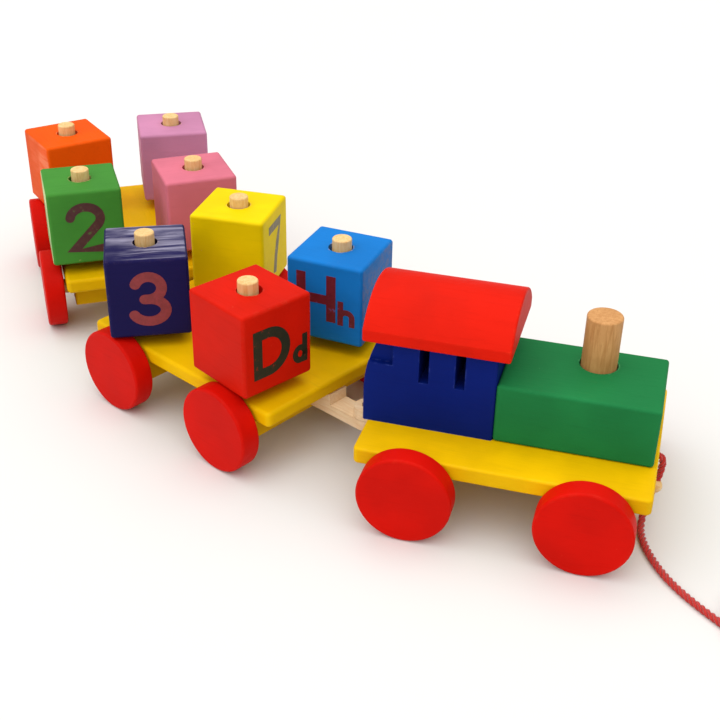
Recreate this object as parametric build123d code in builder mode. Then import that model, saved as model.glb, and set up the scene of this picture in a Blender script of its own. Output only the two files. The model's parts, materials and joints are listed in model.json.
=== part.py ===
"""Pull-along toy train: a locomotive, two wagons with peg-stacked blocks, and a pull cord.

Millimetres, +Z up. The locomotive heads along +X and the wagons trail behind it in a
bend to the left. The origin is on the floor, under the middle of the plan outline of
the train without its cord.
"""
from build123d import *
from math import cos, pi, radians, sin, tan
import os

os.makedirs("parts", exist_ok=True)

# ------------------------------------------------------------------ driving sizes
deck_length = 97.0
deck_width = 70.0
deck_thickness = 6.0
deck_top = 27.4
deck_corner = 2.0
loco_deck_edge = 0.9
wagon_deck_edge = 1.5

wheel_radius = 16.0
wheel_width = 8.0
wheel_edge = 1.0
wheel_side_gap = 0.8
wheel_bore_depth = 5.0
axle_radius = 3.0
axle_offset = 29.0
axle_fit = 0.02
axle_play = 0.08
bolster_width = 15.0
bolster_length = 63.0
bolster_bottom = 10.0
bolster_edge = 1.0

peg_radius = 3.65
peg_depth = 5.0
peg_play = 0.08
peg_end_gap = 0.3
peg_proud = 3.9
peg_edge = 0.6
peg_spacing_x = 55.6
peg_spacing_y = 47.0
block_side = 30.0
block_height = 31.6
block_bore_radius = 4.6
block_edge = 1.3
block_gap = 0.25

cab_length = 43.0
cab_width = 34.8
cab_height = 31.9
cab_edge = 0.9
cab_overhang = 1.7
cab_upright = 11.6
cab_lean = 5.0
window_width = 3.3
window_depth = 14.0
window_pitch = 12.1
window_middle = -23.65
rear_notch_front = -40.3
rear_notch_height = 9.0
rear_notch_recess = 2.0
boiler_height = 21.6
boiler_margin = 1.4
boiler_edge = 1.2
roof_length = 48.9
roof_width = 41.0
roof_side = 4.2
roof_crest = 14.7
roof_overhang = 1.6
roof_edge = 0.8
chimney_radius = 6.0
chimney_top = 67.5
chimney_x = 24.6
chimney_y = 6.6
chimney_edge = 0.7
chimney_bore_radius = 6.5
chimney_bore_depth = 15.0
chimney_end_gap = 0.3

link_width = 9.0
link_thickness = 4.0
link_seat = 11.5
tab_width = 8.5
tab_thickness = 4.0
tab_gap = 0.3
pin_behind = 5.0
pin_ahead = 13.8
pin_radius = 1.0
pin_play = 0.1
pin_head_radius = 1.6
pin_head_height = 0.6
pin_head_gap = 0.3
nail_radius = 0.8
nail_fit = 0.02
nail_head_radius = 1.5
nail_head_height = 0.8
nail_length = 8.0
nail_spacing = 6.0
turn_1 = -26.2
turn_2 = -30.0

cord_diameter = 2.2
cord_hole_radius = 1.3
cord_hole_depth = 6.0
cord_hole_y = -3.0
arc_share = 0.45
floor_gap = 0.05
bead_play = 0.1
stop_bead_radius = 2.5
coil_centre = (195.0, -109.8)
coil_inner_turn = 10.45
coil_outer_turn = 15.95
coil_layers = 3
coil_edge = 1.0
coil_end_angle = -60.0
tail_start = 4.5
tail_end = 25.0
knot_radius = 2.2
pull_bead_radius = 5.6
pull_bead_reach = 17.2

# sizes that follow from the ones above
deck_bottom = deck_top - deck_thickness
wheel_inner_y = deck_width / 2 + wheel_side_gap
wheel_outer_y = wheel_inner_y + wheel_width
axle_half_length = wheel_inner_y + wheel_bore_depth
block_bottom = 2 * wheel_radius + block_gap
block_top = block_bottom + block_height
boiler_length = deck_length - cab_length - boiler_margin
boiler_middle = -deck_length / 2 + cab_length + boiler_length / 2
roof_bottom = deck_top + cab_height
link_bottom = deck_bottom - link_thickness
tab_top = link_bottom - tab_gap
tab_bottom = tab_top - tab_thickness

# where the blocks stand: name, which side of the wagon, turn on the peg, play on the peg
cargo_1 = [
    ("red_block", 1, -1, -4.5, (0.45, 0.3)),
    ("blue_block", 1, 1, 19.5, (-0.5, -0.1)),
    ("yellow_block", -1, 1, 27.5, (-0.5, 0.2)),
    ("navy_block", -1, -1, 52.3, (0.5, -0.3)),
]
cargo_2 = [
    ("green_block", 1, -1, -0.7, (0.45, -0.3)),
    ("pink_block", 1, 1, 2.8, (0.5, -0.2)),
    ("orange_block", -1, -1, 15.1, (0.5, 0.1)),
    ("lilac_block", -1, 1, -5.1, (-0.5, 0.2)),
]


# ------------------------------------------------------------------ where the cars stand
def at(car, x, y, z=0.0, turn=0.0):
    """Plane on a car, at a point in the car's own frame, turned about the vertical."""
    return Plane(car.location * Location((x, y, z), (0, 0, turn)))


def facing_side(car, x, y, z):
    """Plane on a car that looks out to the car's left."""
    return Plane(origin=at(car, x, y, z).origin, x_dir=-car.x_dir, z_dir=car.y_dir)


def facing_front(car, x, y, z):
    """Plane on a car that looks ahead, with its own Y upward."""
    return Plane(origin=at(car, x, y, z).origin, x_dir=car.y_dir, z_dir=car.x_dir)


def hitched_behind(car, turn):
    """Frame of the car whose tab turns on the pin behind another car."""
    pin = at(car, -(deck_length / 2 + pin_behind), 0, 0, turn)
    return at(pin, -(deck_length / 2 + pin_ahead), 0)


def train_from(start):
    """Frames of the locomotive and both wagons, the first one given."""
    first = hitched_behind(start, turn_1)
    return start, first, hitched_behind(first, turn_2)


def corner_arcs(frame, x, y, half_x, half_y, radius):
    """Centres and radius of the corner arcs of a rounded outline seen from above."""
    return [
        (at(frame, x + i * (half_x - radius), y + j * (half_y - radius)).origin, radius)
        for i in (-1, 1)
        for j in (-1, 1)
    ]


def train_outline(cars):
    """Every corner arc that can bound the train in plan."""
    arcs = []
    for car in cars:
        arcs += corner_arcs(car, 0, 0, deck_length / 2, deck_width / 2, deck_corner)
        for x in (-axle_offset, axle_offset):
            arcs += corner_arcs(car, x, 0, wheel_radius, wheel_outer_y, wheel_edge)
    for car, cargo in zip(cars[1:], (cargo_1, cargo_2)):
        for _, side_x, side_y, turn, play in cargo:
            frame = block_frame(car, side_x, side_y, turn, play)
            arcs += corner_arcs(frame, 0, 0, block_side / 2, block_side / 2, block_edge)
    return arcs


def block_frame(car, side_x, side_y, turn, play, z=0.0):
    """Frame of a block: its peg's place, the play on the peg and the turn about it."""
    x = side_x * peg_spacing_x / 2 + play[0]
    y = side_y * peg_spacing_y / 2 + play[1]
    return at(car, x, y, z, turn)


outline = train_outline(train_from(Plane.XY))
west = min(centre.X - radius for centre, radius in outline)
east = max(centre.X + radius for centre, radius in outline)
south = min(centre.Y - radius for centre, radius in outline)
north = max(centre.Y + radius for centre, radius in outline)
loco, wagon_1, wagon_2 = train_from(Plane(origin=(-(west + east) / 2, -(south + north) / 2, 0)))
print("locomotive centre", loco.origin, "wagons", wagon_1.origin, wagon_2.origin)


# ------------------------------------------------------------------ running gear
def make_wheel(car, node, x, side):
    """Turned disc with a blind bore from its inner face for the axle."""
    plane = Plane(
        origin=at(car, x, side * wheel_inner_y, wheel_radius).origin,
        x_dir=car.x_dir,
        z_dir=side * car.y_dir,
    )
    with BuildPart() as wheel:
        with BuildSketch(plane):
            Circle(wheel_radius)
        extrude(amount=wheel_width)
        fillet(wheel.edges().filter_by(GeomType.CIRCLE), wheel_edge)
        with BuildSketch(plane):
            Circle(axle_radius + axle_fit)
        extrude(amount=wheel_bore_depth, mode=Mode.SUBTRACT)
    wheel.part.label = node
    export_step(wheel.part, f"parts/{node}.step")


def make_axle(car, node, x):
    """Plain dowel through the bolster, glued into both wheels."""
    with BuildPart() as axle:
        with BuildSketch(facing_side(car, x, -axle_half_length, wheel_radius)):
            Circle(axle_radius)
        extrude(amount=2 * axle_half_length)
    axle.part.label = node
    export_step(axle.part, f"parts/{node}.step")


def make_bolster(car, node, x):
    """Cross bar under the deck, bored along its length for the axle."""
    with BuildPart() as bolster:
        with BuildSketch(at(car, x, 0, bolster_bottom)):
            RectangleRounded(bolster_width, bolster_length, bolster_edge)
        extrude(amount=deck_bottom - bolster_bottom)
        with BuildSketch(facing_side(car, x, 0, wheel_radius)):
            Circle(axle_radius + axle_play)
        extrude(amount=bolster_length, both=True, mode=Mode.SUBTRACT)
    bolster.part.label = node
    export_step(bolster.part, f"parts/{node}.step")


def make_running_gear(car, name):
    """Two bolsters, two axles and four wheels of one car."""
    for end, x in (("front", axle_offset), ("rear", -axle_offset)):
        make_bolster(car, f"{name}_{end}_bolster", x)
        make_axle(car, f"{name}_{end}_axle", x)
        make_wheel(car, f"{name}_{end}_left_wheel", x, 1)
        make_wheel(car, f"{name}_{end}_right_wheel", x, -1)


for name, car in (("loco", loco), ("wagon_1", wagon_1), ("wagon_2", wagon_2)):
    make_running_gear(car, name)


# ------------------------------------------------------------------ locomotive
def nail_plane(car):
    """Plane of the link's underside, midway between its two nails."""
    return at(car, -deck_length / 2 + link_seat / 2, 0, link_bottom)


with BuildPart() as loco_deck:
    with BuildSketch(at(loco, 0, 0, deck_bottom)):
        RectangleRounded(deck_length, deck_width, deck_corner)
    extrude(amount=deck_thickness)
    faces = loco_deck.faces().sort_by(Axis.Z)
    fillet(faces[0].edges() + faces[-1].edges(), loco_deck_edge)
    with BuildSketch(nail_plane(loco)):
        with GridLocations(0, nail_spacing, 1, 2):
            Circle(nail_radius + nail_fit)
    extrude(amount=nail_length, mode=Mode.SUBTRACT)
    with BuildSketch(facing_front(loco, deck_length / 2, 0, deck_bottom + deck_thickness / 2)):
        with Locations((cord_hole_y, 0)):
            Circle(cord_hole_radius)
    extrude(amount=-cord_hole_depth, mode=Mode.SUBTRACT)
loco_deck.part.label = "loco_deck"
export_step(loco_deck.part, "parts/loco_deck.step")

with BuildPart() as boiler:
    with BuildSketch(at(loco, boiler_middle, 0, deck_top)):
        Rectangle(boiler_length, cab_width)
    extrude(amount=boiler_height)
    fillet(boiler.edges(), boiler_edge)
    with BuildSketch(at(loco, chimney_x, chimney_y, deck_top + boiler_height)):
        Circle(chimney_bore_radius)
    extrude(amount=-chimney_bore_depth, mode=Mode.SUBTRACT)
boiler.part.label = "boiler"
export_step(boiler.part, "parts/boiler.step")

chimney_bottom = deck_top + boiler_height - chimney_bore_depth + chimney_end_gap
with BuildPart() as chimney:
    with BuildSketch(at(loco, chimney_x, chimney_y, chimney_bottom)):
        Circle(chimney_radius)
    extrude(amount=chimney_top - chimney_bottom)
    fillet(chimney.edges().filter_by(GeomType.CIRCLE), chimney_edge)
chimney.part.label = "chimney"
export_step(chimney.part, "parts/chimney.step")

# the cab's rear stands upright from a little behind the deck, then curves in under the roof
with BuildPart() as cab:
    rear_x = -deck_length / 2 - cab_overhang
    front_x = cab_length + cab_overhang
    with BuildSketch(facing_side(loco, rear_x, 0, deck_top)):
        with BuildLine():
            foot = (0, cab_upright)
            brow = (-cab_lean, cab_height)
            Polyline(foot, (0, 0), (-front_x, 0), (-front_x, cab_height), brow)
            TangentArc(foot, brow, tangent=(0, 1))
        make_face()
    extrude(amount=cab_width / 2, both=True)
    fillet(cab.edges().filter_by(Axis.Z), cab_edge)
    with BuildSketch(at(loco, window_middle, 0, roof_bottom)):
        with GridLocations(window_pitch, 0, 2, 1):
            Rectangle(window_width, 2 * cab_width)
    extrude(amount=-window_depth, mode=Mode.SUBTRACT)
    notch_length = rear_notch_front - rear_x
    with BuildSketch(at(loco, rear_notch_front - notch_length / 2, 0, roof_bottom)):
        with GridLocations(0, cab_width, 1, 2):
            Rectangle(notch_length, 2 * rear_notch_recess)
    extrude(amount=-rear_notch_height, mode=Mode.SUBTRACT)
cab.part.label = "cab"
export_step(cab.part, "parts/cab.step")

with BuildPart() as cab_roof:
    with BuildSketch(facing_front(loco, -deck_length / 2 - roof_overhang, 0, roof_bottom)):
        with BuildLine():
            half = roof_width / 2
            Polyline((-half, roof_side), (-half, 0), (half, 0), (half, roof_side))
            ThreePointArc((half, roof_side), (0, roof_crest), (-half, roof_side))
        make_face()
    extrude(amount=roof_length)
    fillet(cab_roof.edges(), roof_edge)
cab_roof.part.label = "cab_roof"
export_step(cab_roof.part, "parts/cab_roof.step")


# ------------------------------------------------------------------ couplings
def make_coupling(car, index):
    """Link and its two nails under the rear of a car, and the riveted pin that the next tab turns on."""
    seat_x = -deck_length / 2 + link_seat
    pin_x = -deck_length / 2 - pin_behind
    with BuildPart() as link:
        with BuildSketch(at(car, (seat_x + pin_x) / 2, 0, link_bottom)):
            Rectangle(seat_x - pin_x, link_width)
            with Locations(((pin_x - seat_x) / 2, 0)):
                Circle(link_width / 2)
        extrude(amount=link_thickness)
        with BuildSketch(at(car, pin_x, 0, link_bottom)):
            Circle(pin_radius + nail_fit)
        extrude(amount=link_thickness, mode=Mode.SUBTRACT)
        with BuildSketch(nail_plane(car)):
            with GridLocations(0, nail_spacing, 1, 2):
                Circle(nail_radius + nail_fit)
        extrude(amount=link_thickness, mode=Mode.SUBTRACT)
        with BuildSketch(nail_plane(car)):
            with GridLocations(0, nail_spacing, 1, 2):
                Circle(nail_head_radius + nail_fit)
        extrude(amount=nail_head_height, mode=Mode.SUBTRACT)
    link.part.label = f"link_{index}"
    export_step(link.part, f"parts/link_{index}.step")

    with BuildPart() as nails:
        with BuildSketch(nail_plane(car)):
            with GridLocations(0, nail_spacing, 1, 2):
                Circle(nail_radius)
        extrude(amount=nail_length)
        with BuildSketch(nail_plane(car)):
            with GridLocations(0, nail_spacing, 1, 2):
                Circle(nail_head_radius)
        extrude(amount=nail_head_height)
    nails.part.label = f"link_{index}_nails"
    export_step(nails.part, f"parts/link_{index}_nails.step")

    foot_top = tab_bottom - pin_head_gap
    with BuildPart() as pin:
        with BuildSketch(at(car, pin_x, 0, foot_top)):
            Circle(pin_radius)
        extrude(amount=deck_bottom - foot_top)
        with BuildSketch(at(car, pin_x, 0, deck_bottom)):
            Circle(pin_head_radius)
        extrude(amount=pin_head_height)
        with BuildSketch(at(car, pin_x, 0, foot_top)):
            Circle(pin_head_radius)
        extrude(amount=-pin_head_height)
    pin.part.label = f"coupling_pin_{index}"
    export_step(pin.part, f"parts/coupling_pin_{index}.step")


def make_tab(car, node):
    """Tongue below the link, with a rounded end, the pin hole and a root glued under the wagon's deck."""
    tail_x = axle_offset + bolster_width / 2
    root_length = deck_length / 2 - tail_x
    pin_x = deck_length / 2 + pin_ahead
    with BuildPart() as tab:
        with BuildSketch(at(car, (tail_x + pin_x) / 2, 0, tab_bottom)):
            Rectangle(pin_x - tail_x, tab_width)
            with Locations(((pin_x - tail_x) / 2, 0)):
                Circle(tab_width / 2)
        extrude(amount=tab_thickness)
        with BuildSketch(at(car, tail_x + root_length / 2, 0, tab_bottom)):
            Rectangle(root_length, tab_width)
        extrude(amount=deck_bottom - tab_bottom)
        with BuildSketch(at(car, pin_x, 0, tab_bottom)):
            Circle(pin_radius + pin_play)
        extrude(amount=tab_thickness, mode=Mode.SUBTRACT)
    tab.part.label = node
    export_step(tab.part, f"parts/{node}.step")


make_coupling(loco, 1)
make_coupling(wagon_1, 2)
make_tab(wagon_1, "wagon_1_tab")
make_tab(wagon_2, "wagon_2_tab")


# ------------------------------------------------------------------ wagons
def make_wagon_deck(car, node, holds_link):
    """Board with four blind peg holes and, where another wagon follows, holes for the link's nails."""
    with BuildPart() as deck:
        with BuildSketch(at(car, 0, 0, deck_bottom)):
            RectangleRounded(deck_length, deck_width, deck_corner)
        extrude(amount=deck_thickness)
        faces = deck.faces().sort_by(Axis.Z)
        fillet(faces[0].edges() + faces[-1].edges(), wagon_deck_edge)
        with BuildSketch(at(car, 0, 0, deck_top)):
            with GridLocations(peg_spacing_x, peg_spacing_y, 2, 2):
                Circle(peg_radius + peg_play)
        extrude(amount=-(peg_depth + peg_end_gap), mode=Mode.SUBTRACT)
        if holds_link:
            with BuildSketch(nail_plane(car)):
                with GridLocations(0, nail_spacing, 1, 2):
                    Circle(nail_radius + nail_fit)
            extrude(amount=nail_length, mode=Mode.SUBTRACT)
    deck.part.label = node
    export_step(deck.part, f"parts/{node}.step")


def make_peg(car, node, side_x, side_y):
    """Dowel that stands in the deck and reaches up through a block."""
    with BuildPart() as peg:
        x = side_x * peg_spacing_x / 2
        y = side_y * peg_spacing_y / 2
        with BuildSketch(at(car, x, y, deck_top - peg_depth)):
            Circle(peg_radius)
        extrude(amount=block_top + peg_proud - deck_top + peg_depth)
        fillet(peg.edges().filter_by(GeomType.CIRCLE).sort_by(Axis.Z)[-1], peg_edge)
    peg.part.label = node
    export_step(peg.part, f"parts/{node}.step")


def make_block(frame, node):
    """Softened square block with a through bore; it clears the wheel tops."""
    with BuildPart() as block:
        with BuildSketch(frame):
            Rectangle(block_side, block_side)
        extrude(amount=block_height)
        fillet(block.edges(), block_edge)
        with BuildSketch(frame):
            Circle(block_bore_radius)
        extrude(amount=block_height, mode=Mode.SUBTRACT)
    block.part.label = node
    export_step(block.part, f"parts/{node}.step")


make_wagon_deck(wagon_1, "wagon_1_deck", True)
make_wagon_deck(wagon_2, "wagon_2_deck", False)
for car, cargo in ((wagon_1, cargo_1), (wagon_2, cargo_2)):
    for node, side_x, side_y, turn, play in cargo:
        make_peg(car, node.replace("block", "peg"), side_x, side_y)
        make_block(block_frame(car, side_x, side_y, turn, play, block_bottom), node)


# ------------------------------------------------------------------ pull cord
# from the bottom of the hole in the deck's front edge, through the stop bead, down to
# the floor and away to the coil; chosen by hand in the train's own frame
cord_points = [
    (144.8, -63.2, 24.4),
    (152.4, -63.2, 24.4),
    (152.4, -64.2, 18.6),
    (151.1, -65.6, 12.8),
    (149.2, -68.2, 6.6),
    (148.5, -73.6, 1.3),
    (149.7, -80.9, 1.15),
    (153.5, -90.0, 1.15),
    (159.6, -99.4, 1.15),
    (167.9, -107.6, 1.15),
    (176.2, -114.2, 1.15),
    (181.3, -118.9, 1.15),
]
stop_bead_point = 3


def corner_radii(points):
    """Largest tangent arc that the two runs beside each inner point leave room for."""
    radii = []
    for before, corner, after in zip(points, points[1:], points[2:]):
        run_in = Vector(corner) - Vector(before)
        run_out = Vector(after) - Vector(corner)
        shorter = min(run_in.length, run_out.length)
        radii.append(arc_share * shorter / tan(radians(run_in.get_angle(run_out) / 2)))
    return radii


radii = corner_radii(cord_points)
print("cord radii", [round(radius, 1) for radius in radii])

tail_turn = radians(coil_end_angle)
tail_direction = Vector(-sin(tail_turn), cos(tail_turn), 0)
tail_root = Vector(*coil_centre, 0) + coil_outer_turn * Vector(cos(tail_turn), sin(tail_turn), 0)
tail_root += Vector(0, 0, pull_bead_radius + floor_gap)
with BuildPart() as pull_cord:
    with BuildLine() as route:
        FilletPolyline(*cord_points, radius=radii)
    with BuildSketch(Plane(origin=route.line @ 0, z_dir=route.line % 0)):
        Circle(cord_diameter / 2)
    sweep()
    swept = pull_cord.part.volume
    with BuildSketch(Plane(origin=tail_root + tail_direction * tail_start, z_dir=tail_direction)):
        Circle(cord_diameter / 2)
    extrude(amount=tail_end - tail_start)
    with Locations(tail_root + tail_direction * tail_end):
        Sphere(knot_radius)
pull_cord.part.label = "pull_cord"
export_step(pull_cord.part, "parts/pull_cord.step")
section_times_length = pi * (cord_diameter / 2) ** 2 * sum(edge.length for edge in route.edges())
print("cord tube volume", round(swept, 2), "section times length", round(section_times_length, 2))

coil_height = coil_layers * cord_diameter
with BuildPart() as cord_coil:
    with BuildSketch(Plane(origin=(*coil_centre, floor_gap))):
        Circle(coil_outer_turn + cord_diameter / 2)
        Circle(coil_inner_turn - cord_diameter / 2, mode=Mode.SUBTRACT)
    extrude(amount=coil_height)
    fillet(cord_coil.edges().filter_by(GeomType.CIRCLE), coil_edge)
cord_coil.part.label = "cord_coil"
export_step(cord_coil.part, "parts/cord_coil.step")

hang = Vector(cord_points[stop_bead_point + 1]) - Vector(cord_points[stop_bead_point - 1])
stop_bead_plane = Plane(origin=cord_points[stop_bead_point], z_dir=hang)
with BuildPart(stop_bead_plane) as cord_stop_bead:
    Sphere(stop_bead_radius)
    Hole(cord_diameter / 2 + bead_play)
cord_stop_bead.part.label = "cord_stop_bead"
export_step(cord_stop_bead.part, "parts/cord_stop_bead.step")

with BuildPart(Plane(origin=tail_root + tail_direction * pull_bead_reach, z_dir=tail_direction)) as pull_bead:
    Sphere(pull_bead_radius)
    Hole(cord_diameter / 2 + bead_play)
pull_bead.part.label = "pull_bead"
export_step(pull_bead.part, "parts/pull_bead.step")
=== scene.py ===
import json
from math import atan2, cos, pi, radians, sin

import bmesh
import bpy
from mathutils import Matrix, Vector


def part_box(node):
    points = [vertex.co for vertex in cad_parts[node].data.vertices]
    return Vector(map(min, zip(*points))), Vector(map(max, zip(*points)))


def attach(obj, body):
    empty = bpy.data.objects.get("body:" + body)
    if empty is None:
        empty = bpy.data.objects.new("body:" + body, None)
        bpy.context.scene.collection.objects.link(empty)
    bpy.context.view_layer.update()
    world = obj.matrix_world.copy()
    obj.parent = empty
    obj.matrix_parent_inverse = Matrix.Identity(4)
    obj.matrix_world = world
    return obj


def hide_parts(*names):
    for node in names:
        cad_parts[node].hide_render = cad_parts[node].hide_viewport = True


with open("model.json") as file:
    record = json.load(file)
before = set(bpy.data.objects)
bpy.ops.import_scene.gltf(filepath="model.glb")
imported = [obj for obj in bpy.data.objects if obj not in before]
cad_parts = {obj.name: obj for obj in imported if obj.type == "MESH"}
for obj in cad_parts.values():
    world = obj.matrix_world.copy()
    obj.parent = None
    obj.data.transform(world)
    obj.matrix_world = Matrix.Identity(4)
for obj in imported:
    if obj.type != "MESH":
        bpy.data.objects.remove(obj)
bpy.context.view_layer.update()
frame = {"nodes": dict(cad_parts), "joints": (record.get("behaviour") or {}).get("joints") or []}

NODES = frame["nodes"]
JOINTS = {joint["name"]: joint for joint in frame["joints"]}
MM = 0.001


# ------------------------------------------------------------------ camera
CAMERA_PLACE = Vector((0.1412, -0.4003, 0.2497))
CAMERA_HEADING = radians(-15.63)
CAMERA_DIP = radians(30.75)
CAMERA_ROLL = radians(1.11)
CAMERA_LENS = 58.96


def add_camera():
    """Camera at the viewing angle: heading from +Y, dip below level, slight roll."""
    ahead = Vector(
        (
            sin(CAMERA_HEADING) * cos(CAMERA_DIP),
            cos(CAMERA_HEADING) * cos(CAMERA_DIP),
            -sin(CAMERA_DIP),
        )
    )
    level_right = Vector((cos(CAMERA_HEADING), -sin(CAMERA_HEADING), 0))
    level_up = level_right.cross(ahead)
    right = cos(CAMERA_ROLL) * level_right + sin(CAMERA_ROLL) * level_up
    up = right.cross(ahead)
    data = bpy.data.cameras.new("camera")
    data.lens = CAMERA_LENS
    data.clip_start = 0.01
    camera = bpy.data.objects.new("camera", data)
    bpy.context.scene.collection.objects.link(camera)
    turn = Matrix((right, up, -ahead)).transposed().to_4x4()
    camera.matrix_world = Matrix.Translation(CAMERA_PLACE) @ turn
    bpy.context.scene.camera = camera


add_camera()


# ------------------------------------------------------------------ small helpers
def new_object(name, mesh, body):
    """Links a mesh as a piece that rides on a body."""
    piece = bpy.data.objects.new(name, mesh)
    bpy.context.scene.collection.objects.link(piece)
    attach(piece, body)
    return piece


def smooth(mesh):
    """Smooth shading on every face."""
    for polygon in mesh.polygons:
        polygon.use_smooth = True


def heading_of(axis):
    """Heading of a car from its left-pointing axle axis."""
    return atan2(-axis[0], axis[1])


CARS = {}
for car_name in ("loco", "wagon_1", "wagon_2"):
    front = JOINTS[f"{car_name}_front_roll"]
    rear = JOINTS[f"{car_name}_rear_roll"]
    middle = (Vector(front["pos_m"]) + Vector(rear["pos_m"])) / 2
    CARS[car_name] = (Vector((middle.x, middle.y, 0)), heading_of(front["axis"]))


# ------------------------------------------------------------------ pull cord
CORD_DIAMETER = 0.0022
CORD_POINTS = [
    (0.1448, -0.0632, 0.0244),
    (0.1524, -0.0632, 0.0244),
    (0.1524, -0.0642, 0.0186),
    (0.1511, -0.0656, 0.0128),
    (0.1492, -0.0682, 0.0066),
    (0.1485, -0.0736, 0.0013),
    (0.1497, -0.0809, 0.00115),
    (0.1535, -0.0900, 0.00115),
    (0.1596, -0.0994, 0.00115),
    (0.1679, -0.1076, 0.00115),
    (0.1762, -0.1142, 0.00115),
    (0.1813, -0.1189, 0.00115),
]
COIL_CENTRE = Vector((0.1950, -0.1098, 0.00115))
COIL_INNER = 0.01045
COIL_OUTER = 0.01595
COIL_TURNS = 6.2
COIL_END = radians(-60)
TURNS_PER_LAYER = 3
FLAT_SHARE = 5 / 6
POINTS_PER_TURN = 16
TAIL_LENGTH = 0.0245
BEAD_REACH = 0.0172
PULL_BEAD_HEIGHT = 0.00565
CORNER_CUT = 1.02


def coil_point(turn):
    """Point of the coil: in, up at the middle, out again and up at the rim, layer by layer."""
    layer = int(turn // TURNS_PER_LAYER)
    share = turn / TURNS_PER_LAYER - layer
    across = min(share / FLAT_SHARE, 1)
    climb = max((share - FLAT_SHARE) / (1 - FLAT_SHARE), 0)
    if layer == 0:
        radius = COIL_OUTER + (COIL_INNER - COIL_OUTER) * across
    elif layer == 1:
        radius = COIL_INNER + (COIL_OUTER - COIL_INNER) * across
    else:
        radius = COIL_OUTER
    angle = COIL_END + 2 * pi * (turn - COIL_TURNS)
    reach = radius * CORNER_CUT
    height = (layer + climb) * CORD_DIAMETER
    return COIL_CENTRE + Vector((reach * cos(angle), reach * sin(angle), height))


def cord_controls():
    """The route's points, then the coil's turns and the short tail through the pull bead."""
    points = [Vector(point) for point in CORD_POINTS]
    count = round(COIL_TURNS * POINTS_PER_TURN)
    points += [coil_point(COIL_TURNS * step / count) for step in range(count + 1)]
    tail = Vector((-sin(COIL_END), cos(COIL_END), 0))
    root = COIL_CENTRE + COIL_OUTER * Vector((cos(COIL_END), sin(COIL_END), 0))
    root.z = PULL_BEAD_HEIGHT
    points += [root + tail * TAIL_LENGTH * share for share in (0.3, 0.6, 1.0)]
    return points


def spline_points(points):
    """Points along the smooth NURBS line whose controls are the given points."""
    data = bpy.data.curves.new("cord_route", "CURVE")
    data.dimensions = "3D"
    data.resolution_u = 8
    spline = data.splines.new("NURBS")
    spline.points.add(len(points) - 1)
    for control, point in zip(spline.points, points):
        control.co = (*point, 1)
    spline.order_u = 3
    spline.use_endpoint_u = True
    route = bpy.data.objects.new("cord_route", data)
    bpy.context.scene.collection.objects.link(route)
    line = bpy.data.meshes.new_from_object(route)
    places = [vertex.co.copy() for vertex in line.vertices]
    bpy.data.objects.remove(route)
    bpy.data.curves.remove(data)
    bpy.data.meshes.remove(line)
    return places


def even_steps(places, step):
    """The same line cut at even distances, its last point kept."""
    cuts = [places[0]]
    left = step
    for start, end in zip(places, places[1:]):
        run = (end - start).length
        done = 0.0
        while run - done >= left:
            done += left
            cuts.append(start.lerp(end, done / run))
            left = step
        left -= run - done
    cuts.append(places[-1])
    return cuts


def carried_frames(places):
    """A pair of cross directions at each point, carried along without twisting."""
    side = Vector((0, 0, 1)).cross(places[1] - places[0]).normalized()
    frames = []
    for index, place in enumerate(places):
        before = places[max(index - 1, 0)]
        after = places[min(index + 1, len(places) - 1)]
        ahead = (after - before).normalized()
        side = (side - ahead * side.dot(ahead)).normalized()
        frames.append((place, side, ahead.cross(side)))
    return frames


STRANDS = 3
STRAND_RADIUS = 0.00070
STRAND_ORBIT = 0.00062
STRAND_SIDES = 8
LAY_LENGTH = 0.0062
CORD_STEP = 0.0006


def add_strand(work, frames, phase):
    """One strand wound round the cord's line."""
    rings = []
    for index, (place, side, lift) in enumerate(frames):
        angle = phase + 2 * pi * index * CORD_STEP / LAY_LENGTH
        out = cos(angle) * side + sin(angle) * lift
        around = -sin(angle) * side + cos(angle) * lift
        centre = place + STRAND_ORBIT * out
        ring = []
        for corner in range(STRAND_SIDES):
            turn = 2 * pi * corner / STRAND_SIDES
            ring.append(work.verts.new(centre + STRAND_RADIUS * (cos(turn) * out + sin(turn) * around)))
        rings.append(ring)
    for ring, following in zip(rings, rings[1:]):
        for corner in range(STRAND_SIDES):
            other = (corner + 1) % STRAND_SIDES
            work.faces.new((ring[corner], ring[other], following[other], following[corner]))
    work.faces.new(rings[0][::-1])
    work.faces.new(rings[-1])


def add_cord():
    """Three-strand cord from the deck to the pull bead, coil included."""
    places = even_steps(spline_points(cord_controls()), CORD_STEP)
    frames = carried_frames(places)
    work = bmesh.new()
    for strand in range(STRANDS):
        add_strand(work, frames, 2 * pi * strand / STRANDS)
    mesh = bpy.data.meshes.new("cord")
    work.to_mesh(mesh)
    work.free()
    smooth(mesh)
    return new_object("cord", mesh, "loco"), places


KNOT_SIZE = 0.0021
KNOT_STEPS = 72
KNOT_REACH = 0.62
KNOT_LOBES = 0.30
KNOT_LIFT = 0.45
KNOT_TUBE_SHARE = 0.42


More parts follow.
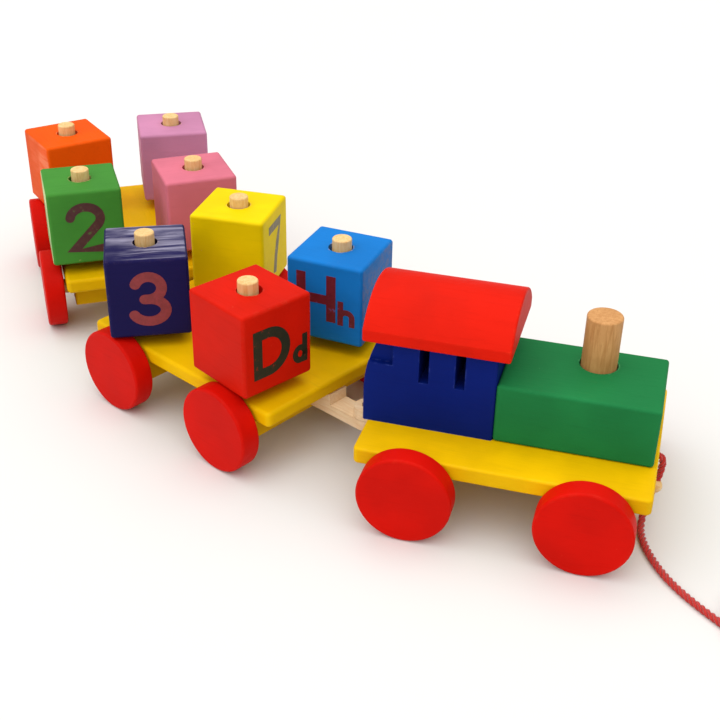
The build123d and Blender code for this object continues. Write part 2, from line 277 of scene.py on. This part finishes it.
def add_end_knot(places):
    """Overhand knot that keeps the pull bead on: a small trefoil tube round the cord's end."""
    ahead = (places[-1] - places[-2]).normalized()
    centre = places[-1] - ahead * KNOT_SIZE
    turn = ahead.to_track_quat("Z", "X").to_matrix().to_4x4()
    line = []
    for step in range(KNOT_STEPS):
        angle = 2 * pi * step / KNOT_STEPS
        reach = KNOT_SIZE * (KNOT_REACH + KNOT_LOBES * cos(3 * angle))
        lift = KNOT_LIFT * KNOT_SIZE * sin(3 * angle)
        line.append(Vector((reach * cos(2 * angle), reach * sin(2 * angle), lift)))
    work = bmesh.new()
    rings = []
    for index, place in enumerate(line):
        along = (line[(index + 1) % KNOT_STEPS] - line[index - 1]).normalized()
        side = along.orthogonal().normalized()
        lift = along.cross(side)
        angles = [2 * pi * corner / STRAND_SIDES for corner in range(STRAND_SIDES)]
        reach = CORD_DIAMETER * KNOT_TUBE_SHARE
        rings.append([work.verts.new(place + reach * (cos(a) * side + sin(a) * lift)) for a in angles])
    for index, ring in enumerate(rings):
        following = rings[(index + 1) % KNOT_STEPS]
        nearest = min(range(STRAND_SIDES), key=lambda shift: (following[shift].co - ring[0].co).length)
        for corner in range(STRAND_SIDES):
            other = (corner + 1) % STRAND_SIDES
            work.faces.new(
                (
                    ring[corner],
                    ring[other],
                    following[(other + nearest) % STRAND_SIDES],
                    following[(corner + nearest) % STRAND_SIDES],
                )
            )
    bmesh.ops.transform(work, matrix=Matrix.Translation(centre) @ turn, verts=work.verts)
    mesh = bpy.data.meshes.new("cord_knot")
    work.to_mesh(mesh)
    work.free()
    smooth(mesh)
    return new_object("cord_knot", mesh, "loco")


cord, cord_places = add_cord()
cord_knot = add_end_knot(cord_places)
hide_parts("pull_cord", "cord_coil")


# ------------------------------------------------------------------ node tools
FACING_FROM, FACING_FULL = 0.80, 0.95
EDGE_FROM, EDGE_FULL = 0.995, 0.90
EDGE_SAMPLES = 6
BUMP_DEPTH = 0.0004


class Tree:
    """A material's node tree, with a short way to add linked nodes."""

    def __init__(self, name):
        self.material = bpy.data.materials.new(name)
        self.material.use_nodes = True
        self.tree = self.material.node_tree
        self.tree.nodes.clear()
        self.coordinates = self.add("ShaderNodeTexCoord")

    def add(self, kind, inputs=None, **settings):
        """Adds a node: settings are its properties, inputs its sockets' values or links."""
        node = self.tree.nodes.new(kind)
        for key, value in settings.items():
            setattr(node, key, value)
        for key, value in (inputs or {}).items():
            if isinstance(value, bpy.types.NodeSocket):
                self.tree.links.new(value, node.inputs[key])
            else:
                node.inputs[key].default_value = value
        return node

    def math(self, operation, first, second):
        """Result of a maths node."""
        return self.add("ShaderNodeMath", {0: first, 1: second}, operation=operation).outputs[0]

    def noise(self, vector, scale, detail=2.0, roughness=0.5, distortion=0.0):
        """Grey noise, 0 to 1."""
        inputs = {
            "Vector": vector,
            "Scale": scale,
            "Detail": detail,
            "Roughness": roughness,
            "Distortion": distortion,
        }
        return self.add("ShaderNodeTexNoise", inputs).outputs["Fac"]

    def window(self, value, low, high):
        """0 below low, 1 above high, smooth between them."""
        inputs = {"Value": value, "From Min": low, "From Max": high}
        node = self.add("ShaderNodeMapRange", inputs, interpolation_type="SMOOTHSTEP")
        return node.outputs["Result"]

    def spread(self, value, low, high):
        """A 0 to 1 value stretched between low and high."""
        node = self.add("ShaderNodeMapRange", {"Value": value, "To Min": low, "To Max": high})
        return node.outputs["Result"]

    def mix(self, share, first, second):
        """Colour mix."""
        inputs = {"Factor": share, "A": first, "B": second}
        node = self.add("ShaderNodeMix", data_type="RGBA")
        for key, value in inputs.items():
            named = [s for s in node.inputs if s.name == key and s.enabled]
            socket = next(s for s in named if s.type in ("RGBA", "VALUE"))
            if isinstance(value, bpy.types.NodeSocket):
                self.tree.links.new(value, socket)
            else:
                socket.default_value = value
        return next(s for s in node.outputs if s.type == "RGBA")

    def place(self, heading, stretch=(1, 1, 1)):
        """Object coordinates turned to a heading about Z and stretched."""
        turned = self.add(
            "ShaderNodeMapping",
            {"Vector": self.coordinates.outputs["Object"], "Rotation": (0, 0, -heading)},
        )
        inputs = {"Vector": turned.outputs[0], "Scale": stretch}
        return self.add("ShaderNodeMapping", inputs).outputs[0]

    def facing(self, direction):
        """1 where the piece's own surface faces a direction, 0 elsewhere."""
        inputs = {0: self.coordinates.outputs["Normal"], 1: direction}
        dot = self.add("ShaderNodeVectorMath", inputs, operation="DOT_PRODUCT").outputs["Value"]
        return self.window(dot, FACING_FROM, FACING_FULL)

    def edges(self, reach):
        """1 on a piece's outer edges, 0 on its flats."""
        rounded = self.add("ShaderNodeBevel", {"Radius": reach}, samples=EDGE_SAMPLES).outputs[0]
        flat = self.add("ShaderNodeNewGeometry").outputs["True Normal"]
        dot = self.add("ShaderNodeVectorMath", {0: rounded, 1: flat}, operation="DOT_PRODUCT")
        return self.window(dot.outputs["Value"], EDGE_FROM, EDGE_FULL)

    def finish(self, colour, roughness, height, strength, **sockets):
        """Principled surface with bump, wired to the output."""
        relief = {"Height": height, "Strength": strength, "Distance": BUMP_DEPTH}
        bump = self.add("ShaderNodeBump", relief)
        inputs = {"Base Color": colour, "Roughness": roughness, "Normal": bump.outputs[0]}
        inputs.update({key.replace("_", " "): value for key, value in sockets.items()})
        surface = self.add("ShaderNodeBsdfPrincipled", inputs)
        self.add("ShaderNodeOutputMaterial", {"Surface": surface.outputs[0]})
        return self.material


def tint(red, green, blue):
    """Linear colour from screen values 0 to 255."""
    def linear(value):
        share = value / 255
        return share / 12.92 if share <= 0.04045 else ((share + 0.055) / 1.055) ** 2.4

    return (linear(red), linear(green), linear(blue), 1)


def scaled(colour, share):
    """A colour made darker or lighter."""
    return (*(min(value * share, 1) for value in colour[:3]), 1)


# ------------------------------------------------------------------ painted wood
ALONG_X = (0.10, 1, 1)
ALONG_Y = (1, 0.10, 1)
ALONG_Z = (1, 1, 0.10)
PAINT_RUB_REACH = 0.0011
PAINT_BUMP = 0.30
PAINT_SPECULAR = 0.06
WOOD_RUB_REACH = 0.0008
WOOD_BUMP = 0.35
WOOD_SPECULAR = 0.30


def painted_wood(name, colour, heading, grain=ALONG_X, worn=None, wear=0.5, face_streaks=()):
    """Brushed satin paint over wood: uneven coat, grain showing through, rubbed edges, chips."""
    tree = Tree(name)
    place = tree.place(heading)
    grain_place = tree.place(heading, grain)
    broad = tree.noise(place, 38, 3)
    streaks = tree.noise(grain_place, 750, 5, 0.62, 0.4)
    pores = tree.noise(grain_place, 2600, 3, 0.6)
    fine = tree.noise(place, 3000, 2)
    coat = tree.mix(tree.window(broad, 0.30, 0.72), scaled(colour, 0.90), scaled(colour, 1.08))
    show_through = tree.math("MULTIPLY", tree.window(streaks, 0.50, 0.80), 0.22)
    coat = tree.mix(show_through, coat, scaled(colour, 0.66))
    pale = worn or tint(235, 190, 140)
    uneven = tree.window(tree.noise(place, 420, 4, 0.65), 0.46, 0.66)
    rubbed = tree.math("MULTIPLY", tree.edges(PAINT_RUB_REACH), uneven)
    coat = tree.mix(tree.math("MULTIPLY", rubbed, wear), coat, pale)
    chips = tree.window(tree.noise(place, 330, 3, 0.55), 0.745, 0.765)
    coat = tree.mix(tree.math("MULTIPLY", chips, 0.55 * wear), coat, pale)
    # Paler streaks mixed into the paint on one chosen face of the block.
    for direction, shade, amount, low, high, size in face_streaks:
        streak_mask = tree.window(tree.noise(grain_place, size, 5, 0.68, 0.8), low, high)
        patch = tree.window(broad, 0.36, 0.60)
        share = tree.math("MULTIPLY", tree.math("MULTIPLY", streak_mask, patch), tree.facing(direction))
        coat = tree.mix(tree.math("MULTIPLY", share, amount), coat, shade)
    gloss = tree.math("ADD", tree.spread(broad, 0.42, 0.56), tree.spread(streaks, -0.05, 0.10))
    height = tree.math("ADD", tree.math("MULTIPLY", streaks, 0.55), tree.math("MULTIPLY", pores, 0.3))
    height = tree.math("ADD", height, tree.math("MULTIPLY", fine, 0.12))
    return tree.finish(coat, gloss, height, PAINT_BUMP, Specular_IOR_Level=PAINT_SPECULAR)


def bare_wood(name, pale, dark, heading=0.0, grain=ALONG_Z):
    """Bare sanded wood: streaks along the grain, cloudy tone, darker pores and edges."""
    tree = Tree(name)
    place = tree.place(heading)
    grain_place = tree.place(heading, grain)
    broad = tree.noise(place, 120, 3)
    streaks = tree.noise(grain_place, 900, 6, 0.65, 0.7)
    pores = tree.noise(grain_place, 3200, 3, 0.6)
    wood = tree.mix(tree.window(streaks, 0.32, 0.74), pale, dark)
    clouds = tree.math("MULTIPLY", tree.window(broad, 0.40, 0.70), 0.35)
    wood = tree.mix(clouds, wood, scaled(dark, 0.92))
    specks = tree.math("MULTIPLY", tree.window(pores, 0.60, 0.72), 0.40)
    wood = tree.mix(specks, wood, scaled(dark, 0.60))
    handled = tree.math("MULTIPLY", tree.edges(WOOD_RUB_REACH), 0.35)
    wood = tree.mix(handled, wood, scaled(dark, 0.80))
    height = tree.math("ADD", tree.math("MULTIPLY", streaks, 0.7), tree.math("MULTIPLY", pores, 0.3))
    gloss = tree.spread(streaks, 0.52, 0.70)
    return tree.finish(wood, gloss, height, WOOD_BUMP, Specular_IOR_Level=WOOD_SPECULAR)


def nail_steel():
    """Dull plain steel with rust-brown patches."""
    tree = Tree("nail_steel")
    place = tree.place(0.0)
    patches = tree.window(tree.noise(place, 900, 4), 0.40, 0.62)
    colour = tree.mix(patches, tint(150, 120, 95), tint(82, 48, 32))
    fine = tree.noise(place, 4000, 3)
    return tree.finish(colour, tree.spread(fine, 0.38, 0.62), fine, 0.3, Metallic=0.7)


def cord_fibre():
    """Dyed cotton: fine fibres across the strands, a little fuzz sheen."""
    tree = Tree("cord_fibre")
    place = tree.place(0.0)
    fibres = tree.noise(place, 3800, 4, 0.7)
    broad = tree.noise(place, 160, 2)
    colour = tree.mix(tree.window(fibres, 0.30, 0.72), tint(165, 12, 10), tint(232, 48, 34))
    colour = tree.mix(tree.math("MULTIPLY", broad, 0.25), colour, tint(150, 6, 8))
    return tree.finish(colour, tree.spread(fibres, 0.72, 0.90), fibres, 0.6, Sheen_Weight=0.35)


RED = tint(206, 24, 4)
WHEEL = tint(206, 14, 2)
ROOF = tint(210, 24, 4)
BLUE = tint(20, 118, 200)
YELLOW = tint(238, 208, 0)
NAVY = tint(26, 22, 74)
GREEN = tint(66, 136, 52)
PINK = tint(208, 112, 132)
ORANGE = tint(232, 84, 4)
LILAC = tint(194, 130, 166)
CAB = tint(4, 28, 112)
BOILER = tint(30, 122, 66)
CAB_WORN = tint(70, 90, 170)
ROOF_WORN = tint(246, 96, 60)
BOILER_WORN = tint(110, 190, 130)
DECK = tint(232, 184, 0)
PEG_PALE = tint(240, 208, 150)
PEG_DARK = tint(222, 172, 104)
LINK_PALE = tint(250, 226, 190)
LINK_DARK = tint(236, 200, 152)
UP = (0, 0, 1)


def outward(node_name, degrees_wanted):
    """Unit outward normal of the upright face of a block that looks nearest to a compass angle."""
    wanted = Vector((cos(radians(degrees_wanted)), sin(radians(degrees_wanted)), 0))
    sides = [face for face in NODES[node_name].data.polygons if abs(face.normal.z) < 0.01]
    largest = max(face.area for face in sides)
    sides = [face for face in sides if face.area > 0.5 * largest]
    return max((face.normal.copy() for face in sides), key=lambda normal: normal.dot(wanted))


# paler streaks on one face of a block: direction, colour, amount, where the streaks begin and are full,
# noise scale
BLUE_SIDE_PALE_STREAKS = (outward("blue_block", -7), tint(110, 120, 165), 0.75, 0.36, 0.62, 300)
NAVY_TOP_PALE_STREAKS = (UP, tint(166, 162, 186), 0.85, 0.34, 0.66, 260)
GREEN_SIDE_PALE_STREAKS = (outward("green_block", -147), tint(205, 220, 160), 0.9, 0.20, 0.44, 260)
ORANGE_SIDE_PALE_STREAKS = (outward("orange_block", -131), tint(240, 130, 90), 0.8, 0.35, 0.60, 300)
BLOCKS = {
    "red": (RED, ()),
    "blue": (BLUE, (BLUE_SIDE_PALE_STREAKS,)),
    "yellow": (YELLOW, ()),
    "navy": (NAVY, (NAVY_TOP_PALE_STREAKS,)),
    "green": (GREEN, (GREEN_SIDE_PALE_STREAKS,)),
    "pink": (PINK, ()),
    "orange": (ORANGE, (ORANGE_SIDE_PALE_STREAKS,)),
    "lilac": (LILAC, ()),
}


def dress(node_name, material):
    """Gives a CAD node its material."""
    slots = NODES[node_name].data.materials
    slots.clear()
    slots.append(material)


def block_heading(colour):
    """Heading of a block, from its sides."""
    normal = outward(f"{colour}_block", 0)
    return atan2(normal.y, normal.x)


def dress_cars():
    """Deck, bolsters, axles, wheels and tab of each car."""
    for car, (_, heading) in CARS.items():
        deck = painted_wood(f"{car}_deck_paint", DECK, heading, wear=0.35)
        # Bolsters take the deck paint made darker: a painted shade for their place under the deck.
        bolster = painted_wood(f"{car}_bolster_painted_shade", scaled(DECK, 0.92), heading, ALONG_Y, wear=0.35)
        axle = bare_wood(f"{car}_axle_wood", PEG_PALE, PEG_DARK, heading, ALONG_Y)
        wheel = painted_wood(f"{car}_wheel_paint", WHEEL, heading, wear=0.22)
        dress(f"{car}_deck", deck)
        for end in ("front", "rear"):
            dress(f"{car}_{end}_bolster", bolster)
            dress(f"{car}_{end}_axle", axle)
            for side in ("left", "right"):
                dress(f"{car}_{end}_{side}_wheel", wheel)
        tab = f"{car}_tab"
        if tab in NODES:
            dress(tab, bare_wood(f"{tab}_wood", LINK_PALE, LINK_DARK, heading, ALONG_X))


def dress_body():
    """Cab, roof, boiler and chimney of the engine."""
    heading = CARS["loco"][1]
    dress("cab", painted_wood("cab_paint", CAB, heading, worn=CAB_WORN, wear=0.4))
    dress("cab_roof", painted_wood("roof_paint", ROOF, heading, worn=ROOF_WORN, wear=0.8))
    dress("boiler", painted_wood("boiler_paint", BOILER, heading, worn=BOILER_WORN, wear=0.6))
    dress("chimney", bare_wood("chimney_wood", tint(212, 158, 100), tint(186, 128, 72)))


def dress_small():
    """Pegs, blocks, links, pins, nails and beads."""
    peg = bare_wood("peg_wood", PEG_PALE, PEG_DARK)
    steel = nail_steel()
    for colour, (paint, face_streaks) in BLOCKS.items():
        heading = block_heading(colour)
        block_paint = painted_wood(f"{colour}_block_paint", paint, heading, face_streaks=face_streaks)
        dress(f"{colour}_block", block_paint)
        dress(f"{colour}_peg", peg)
    for link in ("link_1", "link_2"):
        dress(link, bare_wood(f"{link}_wood", LINK_PALE, LINK_DARK, 0.0, ALONG_X))
        dress(f"{link}_nails", steel)
    for pin in ("coupling_pin_1", "coupling_pin_2"):
        dress(pin, steel)
    for bead in ("cord_stop_bead", "pull_bead"):
        dress(bead, bare_wood(f"{bead}_wood", PEG_PALE, PEG_DARK, 0.0, ALONG_X))


dress_cars()
dress_body()
dress_small()
fibre = cord_fibre()
cord.data.materials.append(fibre)
cord_knot.data.materials.append(fibre)


# ------------------------------------------------------------------ lettering
def arc(centre, reach, start, stop, steps=20):
    """Points of an ellipse's arc, angles in degrees."""
    angles = [radians(start + (stop - start) * step / steps) for step in range(steps + 1)]
    return [(centre[0] + reach[0] * cos(a), centre[1] + reach[1] * sin(a)) for a in angles]


GLYPHS = {
    "2": [arc((0.47, 0.73), (0.45, 0.27), 172, -32) + [(0.06, 0.0), (0.98, 0.0)]],
    "3": [
        arc((0.47, 0.75), (0.43, 0.25), 158, -90) + [(0.34, 0.5)],
        [(0.34, 0.5)] + arc((0.47, 0.25), (0.53, 0.25), 90, -158),
    ],
    "7": [[(0.0, 1.0), (0.98, 1.0), (0.72, 0.60), (0.52, 0.28), (0.42, 0.0)]],
    "D": [[(0, 0), (0, 1)], [(0, 1)] + arc((0.38, 0.5), (0.62, 0.5), 90, -90) + [(0, 0)]],
    "d": [[(1, 0), (1, 1)], arc((0.5, 0.28), (0.5, 0.28), 0, 350)],
    "H": [[(0, 0), (0, 1)], [(1, 0), (1, 1)], [(0, 0.46), (1, 0.46)]],
    "h": [[(0, 0), (0, 1)], arc((0.5, 0.34), (0.5, 0.26), 180, 0) + [(1, 0)]],
}
LETTER_PROUD = 0.06 * MM
LETTER_STEP = 0.012 * MM
LETTER_ROOT = 0.10 * MM


def stroke_outline(points, half, round_ends):
    """Outline of a pen stroke: both sides of its line, with round or square ends."""
    sides = ([], [])
    count = len(points)
    for index, point in enumerate(points):
        before = points[max(index - 1, 0)]
        after = points[min(index + 1, count - 1)]
        ahead = (after - before).normalized()
        across = Vector((-ahead.y, ahead.x))
        spread = half
        if 0 < index < count - 1:
            first = (point - before).normalized()
            spread = half / max(across.dot(Vector((-first.y, first.x))), 0.5)
        sides[0].append(point + across * spread)
        sides[1].append(point - across * spread)
    if not round_ends:
        square_off(sides, points, half)
    outline = list(sides[0])
    if round_ends:
        outline += cap_points(points[-1], points[-1] - points[-2], half)
    outline += reversed(sides[1])
    if round_ends:
        outline += cap_points(points[0], points[0] - points[1], half)
    return outline


def square_off(sides, points, half):
    """Runs both ends of a stroke on by half its width."""
    start = (points[0] - points[1]).normalized() * half
    stop = (points[-1] - points[-2]).normalized() * half
    for side in sides:
        side[0] += start
        side[-1] += stop


def cap_points(end, ahead, half, steps=8):
    """Half circle round the end of a stroke, from its left side to its right."""
    base = atan2(ahead.y, ahead.x) + pi / 2
    angles = [base - pi * step / steps for step in range(1, steps)]
    return [end + half * Vector((cos(a), sin(a))) for a in angles]


def add_glyph(work, glyph, corner, size, pen, place, round_ends):
    """One letter as slabs standing just proud of a face; place turns face points into space."""
    width, height = size
    for index, line in enumerate(GLYPHS[glyph]):
        points = []
        for share in line:
            across = corner[0] + pen / 2 + share[0] * (width - pen)
            up = corner[1] + pen / 2 + share[1] * (height - pen)
            points.append(Vector((across, up)))
        outline = stroke_outline(points, pen / 2, round_ends)
        proud = LETTER_PROUD + index * LETTER_STEP
        top = [work.verts.new(place(point.x, point.y, proud)) for point in outline]
        root = [work.verts.new(place(point.x, point.y, -LETTER_ROOT)) for point in outline]
        work.faces.new(top)
        work.faces.new(root[::-1])
        for here in range(len(outline)):
            there = (here + 1) % len(outline)
            work.faces.new((top[here], root[here], root[there], top[there]))


def letter_ink(name, ink, ground, fade):
    """Printed ink, rubbed thin so that the block's paint shows through in places."""
    tree = Tree(name)
    place = tree.place(0.0)
    patches = tree.noise(place, 420, 5, 0.7)
    fine = tree.noise(place, 2600, 3)
    colour = tree.mix(tree.window(patches, 0.38, 0.70), ink, scaled(ink, 1.35))
    worn = tree.math("MULTIPLY", tree.window(patches, 0.60, 0.72), fade)
    colour = tree.mix(worn, colour, ground)
    return tree.finish(colour, tree.spread(fine, 0.42, 0.58), fine, 0.2, Specular_IOR_Level=0.4)


# face's compass angle, ink, pen width, round ends; then glyph, left, bottom, width, height (mm)
RED_GLYPHS = [("D", 4.2, 6.0, 16.0, 18.6), ("d", 21.3, 5.6, 6.6, 11.2)]
BLUE_GLYPHS = [("H", 4.0, 8.3, 15.6, 18.6), ("h", 20.4, 7.8, 6.8, 9.8)]
LETTERS = {
    "red": (-31, tint(26, 32, 16), 3.8, False, RED_GLYPHS),
    "blue": (-97, tint(98, 18, 36), 3.7, False, BLUE_GLYPHS),
    "yellow": (1, tint(112, 102, 72), 3.4, False, [("7", 7.4, 4.6, 15.2, 22.0)]),
    "navy": (-64, tint(124, 40, 44), 3.9, True, [("3", 7.7, 4.6, 15.2, 22.0)]),
    "green": (-57, tint(70, 34, 36), 3.8, True, [("2", 6.4, 4.4, 17.2, 22.4)]),
}
SMALL_PEN = 0.60
INK_FADE = 0.5


def add_lettering():
    """Alphabet letters and numbers on the teaching blocks, one piece for each block."""
    for colour, (side, ink, pen, round_ends, glyphs) in LETTERS.items():
        block = f"{colour}_block"
        normal = outward(block, side)
        along = Vector((-normal.y, normal.x, 0))
        low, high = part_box(block)
        middle = Vector(((low.x + high.x) / 2, (low.y + high.y) / 2, low.z))
        sides = [face for face in NODES[block].data.polygons if face.normal.dot(normal) > 0.999]
        reach = max((face.center - middle).dot(normal) for face in sides)
        corner = middle + reach * normal - reach * along

        def place(across, up, proud):
            return corner + along * across + Vector((0, 0, up)) + normal * proud

        work = bmesh.new()
        for glyph, left, bottom, width, height in glyphs:
            small = glyph.islower()
            stroke = pen * (SMALL_PEN if small else 1) * MM
            corner_at = (left * MM, bottom * MM)
            size = (width * MM, height * MM)
            add_glyph(work, glyph, corner_at, size, stroke, place, round_ends)
        mesh = bpy.data.meshes.new(f"{colour}_lettering")
        work.to_mesh(mesh)
        work.free()
        mesh.materials.append(letter_ink(f"{colour}_ink", ink, BLOCKS[colour][0], INK_FADE))
        piece = new_object(f"{colour}_lettering", mesh, block)


add_lettering()


# ------------------------------------------------------------------ stage and light
FLOOR_REACH = 4.0
FLOOR_DROP = 0.00005
SUN_ENERGY = 3.2
SUN_SPREAD = radians(110)
SUN_TURN = (radians(10), radians(-8), 0)
FILL_STRENGTH = 0.42


def add_floor():
    """Plain pale floor, a little uneven in tone."""
    bpy.ops.mesh.primitive_plane_add(size=2 * FLOOR_REACH, location=(0, 0, -FLOOR_DROP))
    floor = bpy.context.object
    floor.name = "floor"
    tree = Tree("floor_card")
    broad = tree.noise(tree.place(0.0), 2.0, 2)
    colour = tree.mix(broad, (0.74, 0.74, 0.735, 1), (0.76, 0.76, 0.755, 1))
    floor.data.materials.append(tree.finish(colour, tree.spread(broad, 0.75, 0.85), broad, 0.02))


def add_lights():
    """Broad soft light from overhead and a faint even fill."""
    data = bpy.data.lights.new("overhead", "SUN")
    data.energy = SUN_ENERGY
    data.angle = SUN_SPREAD
    data.color = (1.0, 0.985, 0.955)
    lamp = bpy.data.objects.new("overhead", data)
    bpy.context.scene.collection.objects.link(lamp)
    lamp.rotation_euler = SUN_TURN
    world = bpy.data.worlds.new("studio")
    world.use_nodes = True
    background = world.node_tree.nodes["Background"]
    background.inputs["Color"].default_value = (1.0, 0.985, 0.96, 1)
    background.inputs["Strength"].default_value = FILL_STRENGTH
    bpy.context.scene.world = world


add_floor()
add_lights()
bpy.context.scene.view_settings.view_transform = "Standard"
